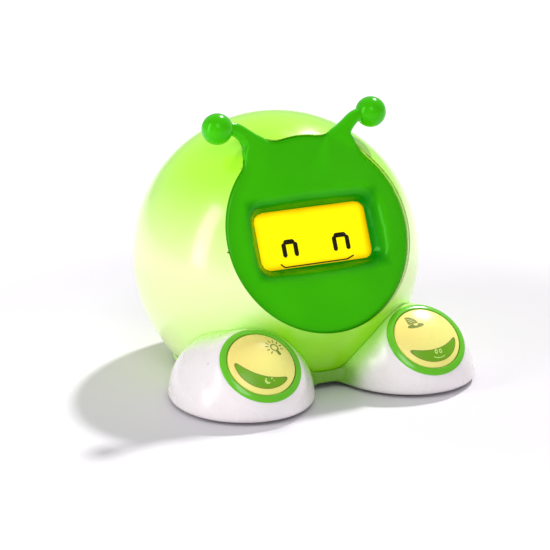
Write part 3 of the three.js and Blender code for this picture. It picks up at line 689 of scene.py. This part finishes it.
def trough(p):
    """The soft dish round the display, deepest at its edges and wider below it than above."""
    x, v, n = p.T
    rise = np.clip((n - FACE_BACK_N - 0.3) / (FACE_APEX_N - FACE_BACK_N), 0.001, 1.4) ** 0.75
    lens = np.clip(1 - (x / 38) ** 2, 0, 1)
    side = np.clip(1 - (v / 22) ** 2, 0, 1) * (np.abs(x) > 20)
    widen = 3.2 + lens * np.where(v < 0, 4.6, 1.6) + side * np.clip((np.abs(x) - 20) / 10, 0, 1) * 2.4
    screen = rounded_box(x, v, SCREEN["half_w"], SCREEN["half_h"], SCREEN["corner"])
    steepness = 0.85
    return (screen - widen * rise) * steepness


def face_disc(p):
    dome = np.linalg.norm(p - (0, 0, FACE_APEX_N - DOME_R), axis=1) - DOME_R
    shoulder = 3.6
    return smooth_max(dome, rho(p) - FACE_R, shoulder)


def face_shape(p):
    disc = face_disc(p)
    dish = -trough(p)
    hollow = smooth_max(disc, dish, DISH_LIP) + FACE_WALL
    front = smooth_max(face_front(p), dish, DISH_LIP)
    shell = np.maximum(front, -hollow)
    shell = smooth_max(shell, FACE_BACK_N - p[:, 2], 0.5)
    mirrored = np.stack([np.abs(p[:, 0]), p[:, 1], p[:, 2]], 1)
    ball = np.linalg.norm(mirrored - (BALL["x"], BALL["v"], BALL["n"]), axis=1)
    overlap = 0.5
    return np.maximum(shell, BALL["r"] - overlap - ball)


def build_face():
    shape = skin(face_shape, (-51, -51, 43.5), (51, 62, 56), 0.7)
    piece("face_bezel_moulding", shape, FACE, LOOKS["face"], replaces=["face_bezel"])
    arc = np.linspace(-np.pi / 2, np.pi / 2, 40)
    for side, sign in SIDES.items():
        place = Place(FACE.out([sign * BALL["x"], BALL["v"], BALL["n"]]), FACE.axes[0], FACE.axes[1])
        ball = lathe([(BALL["r"] * max(math.cos(a), 0), BALL["r"] * math.sin(a)) for a in arc], 64)
        piece(f"feeler_ball_{side}", ball, place, LOOKS["face"],
              replaces=[f"antenna_ball_{side}"])


# ---- display marks ------------------------------------------------------------------
MARK = {"bottom": LCD_TOP + 0.01, "top": LCD_TOP + 0.16}


def display_mark(name, flat, low, high):
    """A flat mark on the display: its outline, between two heights."""
    bottom, top, step = MARK["bottom"], MARK["top"], 0.14
    middle, half = (bottom + top) / 2, (top - bottom) / 2
    shape = skin(lambda p: np.maximum(flat(p[:, 0], p[:, 1]), np.abs(p[:, 2] - middle) - half),
                 (*low, bottom - step), (*high, top + step), step)
    piece(name, shape, FACE, LOOKS["ink"])


def bevelled_bar(u, v, start, end, half, point):
    """A display segment: a bar whose ends are cut to blunt points."""
    along = np.array(end, float) - start
    length = np.linalg.norm(along)
    along /= length
    s = (u - start[0]) * along[0] + (v - start[1]) * along[1]
    t = np.abs((v - start[1]) * along[0] - (u - start[0]) * along[1])
    ends = np.abs(s - length / 2) - length / 2
    return np.maximum(np.maximum(t - half, ends), (ends + t - half + point) * math.sqrt(0.5))


def eye(u, v, left, right, bottom, top):
    """A closed smiling eye of three display segments."""
    half = 1.2
    bars = [
        bevelled_bar(u, v, (left + half, bottom), (left + half, top - 1.5), half, 0.8),
        bevelled_bar(u, v, (right - half, bottom), (right - half, top - 1.5), half, 0.8),
        bevelled_bar(u, v, (left + 1.3, top - half), (right - 1.3, top - half), half, 0.9),
    ]
    return np.minimum.reduce(bars)


def smile(u, v):
    points = [(-19.1, -11.7), (-17.2, -13.4), (16.7, -13.4), (20.4, -12.0)]
    return strokes(zip(points, points[1:]), 0.36)(u, v)


def build_display():
    left = lambda u, v: eye(u, v, -17.1, -8.4, -8.6, 0.1)
    right = lambda u, v: eye(u, v, 10.5, 19.9, -8.7, 0.2)
    display_mark("display_eye_left", left, (-18, -9.5), (-7.5, 1))
    display_mark("display_eye_right", right, (9.5, -9.6), (21, 1.1))
    display_mark("display_smile", smile, (-20, -14.2), (21.2, -11))


# ---- globe --------------------------------------------------------------------------


def face_gap(p):
    """How far points lie inside the opening that the face and the roots of its feelers fill."""
    q = p @ FACE.axes.T
    clearance, root_r = 0.04, 53
    return clearance - np.maximum(np.maximum(face_outline(q), rho(q) - root_r), -q[:, 2])


def globe_shape(p):
    """The globe's shell, open to the face, at the back and below, in the globe's frame."""
    far = np.linalg.norm(p, axis=1)
    shell = np.maximum(far - GLOBE_R, GLOBE_R - GLOBE_WALL - far)
    bottom = GLOBE_BOTTOM - GLOBE_Z
    half = FLANGE["thick"] / 2
    flange = np.maximum(np.abs(rho(p) - FLANGE["r"]) - FLANGE["half"], np.abs(p[:, 2] - bottom - half) - half)
    shell = np.minimum(shell, flange)
    q = p @ FACE.axes.T
    collar = np.maximum(np.abs(rho(q) - COLLAR["r"]) - COLLAR["half"],
                        np.abs(q[:, 2] - COLLAR["n"]) - COLLAR["half_n"])
    shell = np.minimum(shell, np.maximum(collar, far - GLOBE_R))
    shell = np.maximum(shell, face_gap(p))
    gap, edge = 0.3, 0.8
    back = np.maximum(np.hypot(p[:, 0], p[:, 2]) - REAR_R - gap, -p[:, 1])
    shell = smooth_max(shell, -back, edge)
    return np.maximum(shell, bottom - p[:, 2])


def build_globe():
    span = GLOBE_R + 1.5
    crease = (lambda p: np.linalg.norm(p, axis=1) - GLOBE_R, face_gap)
    low = (-span, -span, GLOBE_BOTTOM - GLOBE_Z - 1.5)
    shape = skin(globe_shape, low, (span, span, span), 1.1, [crease], 3)
    piece("globe_shell", shape, GLOBE, LOOKS["globe"], replaces=["globe"])


# ---- base ---------------------------------------------------------------------------


def rotated(x, y, angle):
    """Positions along two axes that are turned by an angle."""
    return (x * math.cos(angle) + y * math.sin(angle),
            y * math.cos(angle) - x * math.sin(angle))


def foot_axes(x, y, sign):
    """Positions across and along a foot, whose toe is turned out."""
    return rotated(x - sign * FOOT["x"], y - FOOT["y"], sign * FOOT["toe_out"])


def foot_dome(p, sign):
    """A foot's dome, with slightly squared shoulders."""
    local = np.stack([*foot_axes(p[:, 0], p[:, 1], sign), p[:, 2] - BASE_Z], 1)
    size = np.array(FOOT["size"], float)
    share = np.abs(local) / size
    power = FOOT["power"]
    level = np.maximum((share ** power).sum(1), 1e-6) ** (1 / power)
    steep = np.linalg.norm((share / level[:, None]) ** (power - 1) / size, axis=1)
    return (level - 1) / np.maximum(steep, 1e-3)


def foot(p, side):
    """A foot's dome, raised under its button to the round seat that the ring lies on."""
    dome = foot_dome(p, SIDES[side])
    q = BUTTONS[side].into(PLAN.out(p))
    seat = np.sqrt(rho(q) ** 2 + (q[:, 2] + SEAT["depth"]) ** 2) - SEAT["r"]
    beside = fade(rho(q), RING_EDGE_R + 0.3, RING_EDGE_R + SEAT["fade"])
    share = (1 - beside) * fade(q[:, 2], -16, -8)
    return dome + share * (seat - dome)


def bore(p, side):
    floor = -7
    q = BUTTONS[side].into(PLAN.out(p))
    return np.maximum(rho(q) - BORE_R, floor - q[:, 2])


def base_solid(p):
    """The feet, the skirt under the globe and the web between the feet, flowing into each other."""
    skirt_top = 13
    skirt = np.maximum(rho(p) - SKIRT_R, p[:, 2] - skirt_top)
    web = np.maximum(np.maximum(np.abs(p[:, 0]) - WEB["half_w"], WEB["front"] - p[:, 1]),
                     np.maximum(p[:, 1] + SKIRT_R - 4, p[:, 2] - WEB["top"]))
    web = smooth_max(web, WEB["bottom"] - p[:, 2], 2)
    return smooth_min(smooth_min(foot(p, "left"), foot(p, "right"), 3), smooth_min(skirt, web, 3), 5)


def above_table(p):
    return smooth_max(base_solid(p), BASE_Z - p[:, 2], 3)


def outside_globe(p):
    gap = 0.3
    return GLOBE_R + gap - np.sqrt(rho(p) ** 2 + (p[:, 2] - GLOBE_Z) ** 2)


def base_shape(p):
    shell = np.maximum(above_table(p), -(base_solid(p) + BASE_WALL))
    shell = np.maximum(shell, outside_globe(p))
    for side in SIDES:
        shell = np.maximum(shell, -bore(p, side))
    return shell


def build_base():
    creases = [(above_table, lambda p, side=side: bore(p, side)) for side in SIDES]
    creases.append((above_table, outside_globe))
    shape = skin(base_shape, (-81, -93, 0.5), (81, 57.5, 43), 1.0, creases)
    piece("base_moulding", shape, PLAN, LOOKS["base"], replaces=["base_housing"])


def plate_outline(x, y):
    """The bottom plate's outline with its battery opening, sound slots and screw holes."""
    outline = np.hypot(x, y) - PLATE["r"]
    inset = BASE_WALL + 0.5
    for sign in SIDES.values():
        u, v = foot_axes(x, y, sign)
        wide, long = FOOT["size"][0] - inset, FOOT["size"][1] - inset
        level = np.maximum(np.hypot(u / wide, v / long), 1e-3)
        sole = (level - 1) * level / np.maximum(np.hypot(u / wide ** 2, v / long ** 2), 1e-4)
        outline = np.minimum(outline, sole)
    gap = 0.4
    middle, half = (DOOR["back"] + DOOR["front"]) / 2, (DOOR["back"] - DOOR["front"]) / 2
    door = rounded_box(x, y - middle, DOOR["half_w"] + gap, half + gap, 0.8)
    tongue = rounded_box(x, y - DOOR["front"], DOOR["tongue_half_w"] + gap,
                         DOOR["front"] - DOOR["tongue_front"] + gap, 0.8)
    screw_hole_r, slot_half = 1.8, 0.9
    cuts = [door, tongue] + [np.hypot(x - sx, y - sy) - screw_hole_r for sx, sy in PLATE_SCREWS]
    for dx in (-8, -4, 0, 4, 8):
        reach = math.sqrt((SPEAKER["r"] - 3) ** 2 - dx ** 2) - slot_half
        slot = segment(x, y, (dx, SPEAKER["y"] - reach), (dx, SPEAKER["y"] + reach))[0]
        cuts.append(slot - slot_half)
    return np.maximum(outline, -np.minimum.reduce(cuts))


def build_plate():
    middle, half = (PLATE["top"] + PLATE["bottom"]) / 2, (PLATE["top"] - PLATE["bottom"]) / 2
    shape = skin(lambda p: slab(plate_outline(p[:, 0], p[:, 1]), p[:, 2] - middle, half, 0.35),
                 (-80, -92, PLATE["bottom"] - 1), (80, 55, PLATE["top"] + 1), 0.8)
    piece("bottom_plate_moulding", shape, PLAN, LOOKS["plate"], replaces=["bottom_plate"])


# ---- foot buttons -------------------------------------------------------------------
CAP_DOME_R = (CAP["r"] ** 2 + (CAP["top"] - CAP["edge"]) ** 2) / (2 * (CAP["top"] - CAP["edge"]))


def cap_height(r):
    return CAP["top"] - CAP_DOME_R + np.sqrt(CAP_DOME_R ** 2 - r ** 2)


def on_cap(name, side, flat, low, high, lift, step, look, sink=0.3):
    """A mark that follows the cap's dome, sunk a little into it."""
    middle, half = (lift - sink) / 2, (lift + sink) / 2
    heights = (cap_height(CAP["r"] - 0.5) - 1, CAP["top"] + lift + step)

    def shape(p):
        above = p[:, 2] - cap_height(np.minimum(rho(p), CAP["r"]))
        return smooth_max(flat(p[:, 0], p[:, 1]), np.abs(above - middle) - half, 0.12)

    found = skin(shape, (*low, heights[0]), (*high, heights[1]), step)
    return piece(name, found, BUTTONS[side], look, f"{side}_foot_button")


def crescent_outline(side):
    """A disc cut by a gently sagging upper edge, with rounded tips."""
    turn = CRESCENT["turn"][side]
    r, span = CRESCENT["r"], CRESCENT["half_span"]

    def outline(x, y):
        a, b = rotated(x, y, turn)
        bend = CRESCENT["sag"] / (r * math.sin(span)) ** 2
        edge = b + r * math.cos(span) + CRESCENT["sag"] - bend * a ** 2
        return smooth_max(np.hypot(x, y) - r, edge / np.sqrt(1 + (2 * bend * a) ** 2), 2.2)

    return outline


def bulb_mark(x, y):
    """A light bulb with rays, tipped over so that its foot points to the lower right."""
    middle, foot_way = np.array((8.5, 6.6)), np.array((0.32, -0.95))
    glass = np.abs(np.hypot(x - middle[0], y - middle[1]) - 1.9) - 0.4
    base = segment(x, y, middle + foot_way * 2.7, middle + foot_way * 4.0)[0] - 0.9
    rays = []
    for i in range(9):
        angle = math.atan2(foot_way[1], foot_way[0]) + math.radians(60 + 30 * i)
        way = np.array((math.cos(angle), math.sin(angle)))
        rays.append((middle + way * 3.3, middle + way * 4.6))
    return np.minimum.reduce([glass, base, strokes(rays, 0.32)(x, y)])


def shade_mark(x, y):
    """A hatched quarter disc over a low wave."""
    u, v = x + 8.1, y - 7.6
    quarter = np.maximum(np.maximum(np.hypot(u, v) - 5.0, -u), -v)
    hatch = np.abs((u + v) % 1.5 - 0.75) - 0.55
    rim = np.abs(quarter + 0.35) - 0.35
    wave = (np.hypot((x + 4.8) / 4.3, (y - 6.2) / 1.35) - 1) * 1.35
    notch = np.hypot(x + 4.5, y - 7.4) - 1.2
    return np.minimum(np.minimum(np.maximum(quarter, hatch), rim), np.maximum(wave, -notch))


def moon_mark(x, y):
    """A small moon and two dots."""
    moon = np.maximum(np.hypot(x + 1.3, y + 10.6) - 1.5, 1.25 - np.hypot(x + 0.5, y + 10.1))
    dots = [np.hypot(x - 1.0, y + 9.8) - 0.42, np.hypot(x - 1.9, y + 10.9) - 0.3]
    return np.minimum.reduce([moon, *dots])


def smiley_mark(x, y):
    """Two tall eyes over a smile."""
    eyes = [np.abs(np.hypot(x - cx, (y + 9.6) * 0.75) - 0.62) - 0.26 for cx in (0.2, 2.6)]
    lips = [(-1.6, -11.9), (-0.2, -12.6), (2.9, -12.6), (4.3, -11.8)]
    mouth = strokes(zip(lips, lips[1:]), 0.22)
    return np.minimum.reduce([*eyes, mouth(x, y)])


def ring_profile():
    """A convex band that follows the foot's dome and laps over the bore's edge."""
    band = [(17.2, -2.8), (17.2, 1.2), (17.6, 1.42), (18.6, 1.05), (19.6, 0.5)]
    lip = [(RING_EDGE_R - 0.05, 0.0), (RING_EDGE_R, -0.4), (19.9, -0.08), (19.6, -0.3)]
    sleeve = [(19.6, -7.4), (18.4, -7.4), (18.4, -2.8)]
    return eased(band + lip + sleeve, 0.22)


def cap_profile():
    dome = [(r, cap_height(r)) for r in np.linspace(0, CAP["r"] - 0.9, 12)]
    rim = [(CAP["r"] - 0.45, cap_height(CAP["r"] - 0.5) - 0.06),
           (CAP["r"] - 0.1, cap_height(CAP["r"] - 0.4) - 0.4),
           (CAP["r"], CAP["edge"] - 0.8)]
    skirt = [(CAP["r"], -3.2), (18, -3.2), (18, -4.2), (15.3, -4.2), (15.3, 0.4)]
    under = [(r, cap_height(r) - 1.6) for r in (12, 8, 4, 2)]
    return dome + rim + skirt + under + [(2, -2.1), (0, -2.1)]


def spring_path():
    turns = np.linspace(0, SPRING["turns"], SPRING["turns"] * 28 + 1)
    rise = turns / SPRING["turns"]
    flat = SPRING["wire"] / (SPRING["top"] - SPRING["bottom"])
    rise = flat + (1 - 2 * flat) * rise
    height = SPRING["bottom"] + (SPRING["top"] - SPRING["bottom"]) * rise
    angle = 2 * np.pi * turns
    return np.stack([SPRING["r"] * np.cos(angle), SPRING["r"] * np.sin(angle), height], 1)


def build_button(side):
    place, body = BUTTONS[side], f"{side}_foot_button"
    piece(f"{side}_ring_band", lathe(ring_profile(), 128), place, LOOKS["ring"],
          replaces=[f"{side}_button_ring"])
    piece(f"{side}_cap_dome", lathe(cap_profile(), 128), place, cap_look(side), body,
          [f"{side}_button_cap"])
    outline = crescent_outline(side)
    crescent = on_cap(f"{side}_crescent_inlay", side, outline, (-14.8, -14.8), (14.8, 7), 0.14, 0.28,
                      LOOKS["crescent"], 0.7)
    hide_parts(f"{side}_button_crescent")
    on_cap(f"{side}_crescent_edge", side, lambda x, y: np.abs(outline(x, y) + 0.1) - 0.24, (-14.8, -14.8),
           (14.8, 7), 0.17, 0.2, LOOKS["olive"])
    icon, badge = {"left": (bulb_mark, moon_mark), "right": (shade_mark, smiley_mark)}[side]
    low, high = {"left": ((3.2, 1.6), (13.8, 12)), "right": ((-9.8, 4.2), (0.2, 13.2))}[side]
    on_cap(f"{side}_cap_icon", side, icon, low, high, 0.07, 0.16, LOOKS["olive"])
    on_cap(f"{side}_crescent_badge", side, badge, (-3.4, -13.6), (5, -8), 0.22, 0.14,
           LOOKS["pale"])
    coil = piece(f"{side}_coil", tube(spring_path(), SPRING["wire"]), place, LOOKS["steel"],
                 replaces=[f"{side}_button_spring"])
    anchor = place.out([0, 0, SPRING["bottom"]]) * MM
    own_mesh(coil)


# ---- back ---------------------------------------------------------------------------


def rear_shape(p):
    """The domed rear panel with its three key holes and switch slot."""
    far = np.linalg.norm(p, axis=1)
    shell = np.maximum(far - GLOBE_R, GLOBE_R - REAR_WALL - far)
    shell = smooth_max(shell, rho(p) - REAR_R, 0.9)
    shell = np.maximum(shell, 40 - p[:, 2])
    for x in KEY["x"]:
        well = rho(p - (x, KEY["y"], 0)) - KEY["r"] - 0.4
        dish = np.sqrt(rho(p - (x, KEY["y"], 0)) ** 2 + (p[:, 2] - GLOBE_R - 4.2) ** 2) - 8.2
        shell = smooth_max(shell, -dish, 0.6)
        shell = smooth_max(shell, -well, 0.5)
    middle = SLIDE["x"] + SLIDE["travel"] / 2
    u, v = p[:, 0] - middle, p[:, 1] - SLIDE["y"]
    slot = rounded_box(u, v, SLIDE["half_w"] + SLIDE["travel"] / 2 + 0.3, SLIDE["half_h"] + 0.3, 0.5)
    groove_r, groove_half, groove_deep = 26, 0.4, 0.5
    groove = np.maximum(np.abs(rho(p) - groove_r) - groove_half, GLOBE_R - groove_deep - far)
    shell = smooth_max(shell, -groove, 0.3)
    return smooth_max(shell, -slot, 0.5)


def build_back():
    shape = skin(rear_shape, (-31, -31, 62), (31, 31, 73), 0.6)
    piece("rear_panel_moulding", shape, REAR, LOOKS["face"], replaces=["rear_panel"])
    for i, x in enumerate(KEY["x"]):
        low, high = box_mm(f"set_button_{i + 1}")
        under, top = low[1] - AXIS_Y, high[1] - AXIS_Y
        flange = under + 1.9
        profile = eased([(0, top), (KEY["r"] - 0.1, top - 0.15), (KEY["r"], flange), (5.6, flange),
                         (5.6, flange - 0.9), (2, flange - 0.9), (2, under), (0, under)], 0.7)
        place = Place(REAR.out([x, KEY["y"], 0]), REAR.axes[0], REAR.axes[1])
        piece(f"set_key_{i + 1}_cap", lathe(profile, 64), place, LOOKS["key"],
              f"set_key_{i + 1}", [f"set_button_{i + 1}"])


# ---- small parts --------------------------------------------------------------------


def screw_head(p):
    """A pan head with a cross recess, its face down."""
    head_r, head_top, arm_half, arm_reach, depth = 2.8, 1.25, 0.32, 1.55, 0.75
    dome = np.sqrt(rho(p) ** 2 + (p[:, 2] - 4.6) ** 2) - 4.9
    head = smooth_max(smooth_max(dome, rho(p) - head_r, 0.5), p[:, 2] - head_top, 0.2)
    arms = [np.maximum(np.abs(p[:, k]) - arm_half, np.abs(p[:, 1 - k]) - arm_reach) for k in (0, 1)]
    cross = np.maximum(np.minimum(*arms), p[:, 2] - depth)
    shank = np.maximum(rho(p) - 1.15, np.abs(p[:, 2] - 3) - 2.4)
    return smooth_max(np.minimum(head, shank), -cross, 0.15)


def build_fixings():
    shape = skin(screw_head, (-3.2, -3.2, -0.6), (3.2, 3.2, 5.8), 0.2)
    screws = {f"base_screw_{i}": "clock_body" for i in range(1, 5)}
    screws.update({f"foot_screw_{side}": "clock_body" for side in SIDES})
    screws["door_screw"] = "battery_cover"
    for node, body in screws.items():
        low, high = box_mm(node)
        middle = (low + high) / 2
        place = Place((middle[0], middle[1], low[2] + 0.3), (1, 0, 0), (0, 1, 0))
        piece(f"{node}_head", shape, place, LOOKS["steel"], body, [node])
    for spot in ("front_left", "front_right", "rear_left", "rear_right"):
        node = f"foot_pad_{spot}"
        low, high = box_mm(node)
        r = (high[0] - low[0]) / 2
        profile = eased([(0, 0), (r - 1.6, 0), (r, 0.5), (r, high[2]), (0, high[2])], 0.4)
        place = Place((*(low + high)[:2] / 2, 0), (1, 0, 0), (0, 1, 0))
        piece(f"{node}_rubber", lathe(profile, 48), place, LOOKS["rubber"], replaces=[node])


def dress_nodes():
    """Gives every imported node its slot's material, and a fine bevel where its own mesh shows."""
    for row in frame["record"]["subparts"]:
        node = frame["nodes"][row["node"]]
        node.data.materials.clear()
        node.data.materials.append(LOOKS[SLOT_LOOKS[row["material_slot"]]])
    for name in ("battery_door", "alarm_switch_knob", "battery_box", "display_window"):
        bevel = frame["nodes"][name].modifiers.new("edge", "BEVEL")
        bevel.width = 0.25 * MM
        bevel.segments = 3
        bevel.limit_method = "ANGLE"
        bevel.harden_normals = True


# ---- stage --------------------------------------------------------------------------
VIEW = {"azimuth": -26.31, "elevation": 16.69, "distance": 1313.6,
        "target": (-0.32, 0.16, 43.77), "lens": 170.1}


def direction(azimuth, elevation):
    """Azimuth 0 is in front of the face, and 90 to its right. Both are in degrees."""
    a, e = math.radians(azimuth), math.radians(elevation)
    return Vector((math.sin(a) * math.cos(e), -math.cos(a) * math.cos(e), math.sin(e)))


def aim(data, target, way, distance):
    """Sets up a camera or light that looks at a target, in metres, from a way off."""
    made = bpy.data.objects.new(data.name, data)
    bpy.context.scene.collection.objects.link(made)
    made.rotation_mode = "QUATERNION"
    made.rotation_quaternion = way.to_track_quat("Z", "Y")
    made.location = target + way * distance
    return made


def build_camera():
    data = bpy.data.cameras.new("camera")
    data.lens = VIEW["lens"]
    data.sensor_width = 36
    data.clip_end = 50
    target = Vector(PLAN.out(VIEW["target"])) * MM
    back = direction(VIEW["azimuth"], VIEW["elevation"])
    bpy.context.scene.camera = aim(data, target, back, VIEW["distance"] * MM)


LIT = Vector(GLOBE.origin) * MM


def lamp(name, azimuth, elevation, distance, width, height, power):
    """A soft box that faces the globe."""
    data = bpy.data.lights.new(name, "AREA")
    data.shape = "RECTANGLE"
    data.size = width
    data.size_y = height
    data.energy = power
    aim(data, LIT, direction(azimuth, elevation), distance)


def key_light(name, azimuth, elevation, strength, spread):
    """A distant light, whose spread in degrees softens the edge of the shadow."""
    data = bpy.data.lights.new(name, "SUN")
    data.energy = strength
    data.angle = math.radians(spread)
    aim(data, LIT, direction(azimuth, elevation), 2)


def build_lights():
    world = bpy.data.worlds.new("studio")
    world.use_nodes = True
    sky = world.node_tree.nodes["Background"].inputs
    sky["Color"].default_value = (1, 1, 1, 1)
    sky["Strength"].default_value = 0.45
    bpy.context.scene.world = world
    key_light("key", 127, 49, 2.6, 4.5)
    lamp("side_box", -88, 20, 1.1, 0.25, 0.85, 4.3)
    lamp("front_box", -20, 40, 1.4, 0.5, 0.7, 4)


def build_floor():
    """A sheet of paper, whiter further out: painted light that makes up for the soft boxes' light falling off.
    Near the clock it is darker and a little lilac: painted shade that deepens its shadow and offsets the green
    light bounced into it.
    """
    look = Look("paper", roughness=0.9, specular_ior_level=0.0)
    # painted shade near the clock, darker and lilac-tinted; the whiter far part is painted light
    near = look.blend(look.noise(60, 3), linear(228, 225, 230), linear(225, 222, 227))
    out = look.ramp(look.reach(PLAN), 170, 330)
    look.set("Base Color", look.blend(out, near, linear(252, 252, 252)))
    mesh = bpy.data.meshes.new("floor")
    half, level = 4.0, -0.05 * MM
    corners = [(x * half, y * half, level) for x, y in ((-1, -1), (1, -1), (1, 1), (-1, 1))]
    mesh.from_pydata(corners, [], [(0, 1, 2, 3)])
    mesh.materials.append(look.material)
    floor = bpy.data.objects.new("floor", mesh)
    bpy.context.scene.collection.objects.link(floor)


dress_nodes()
build_globe()
build_face()
build_display()
build_base()
build_plate()
for button_side in SIDES:
    build_button(button_side)
build_back()
build_fixings()
bpy.context.scene.view_settings.view_transform = "Standard"
build_lights()
build_floor()
build_camera()
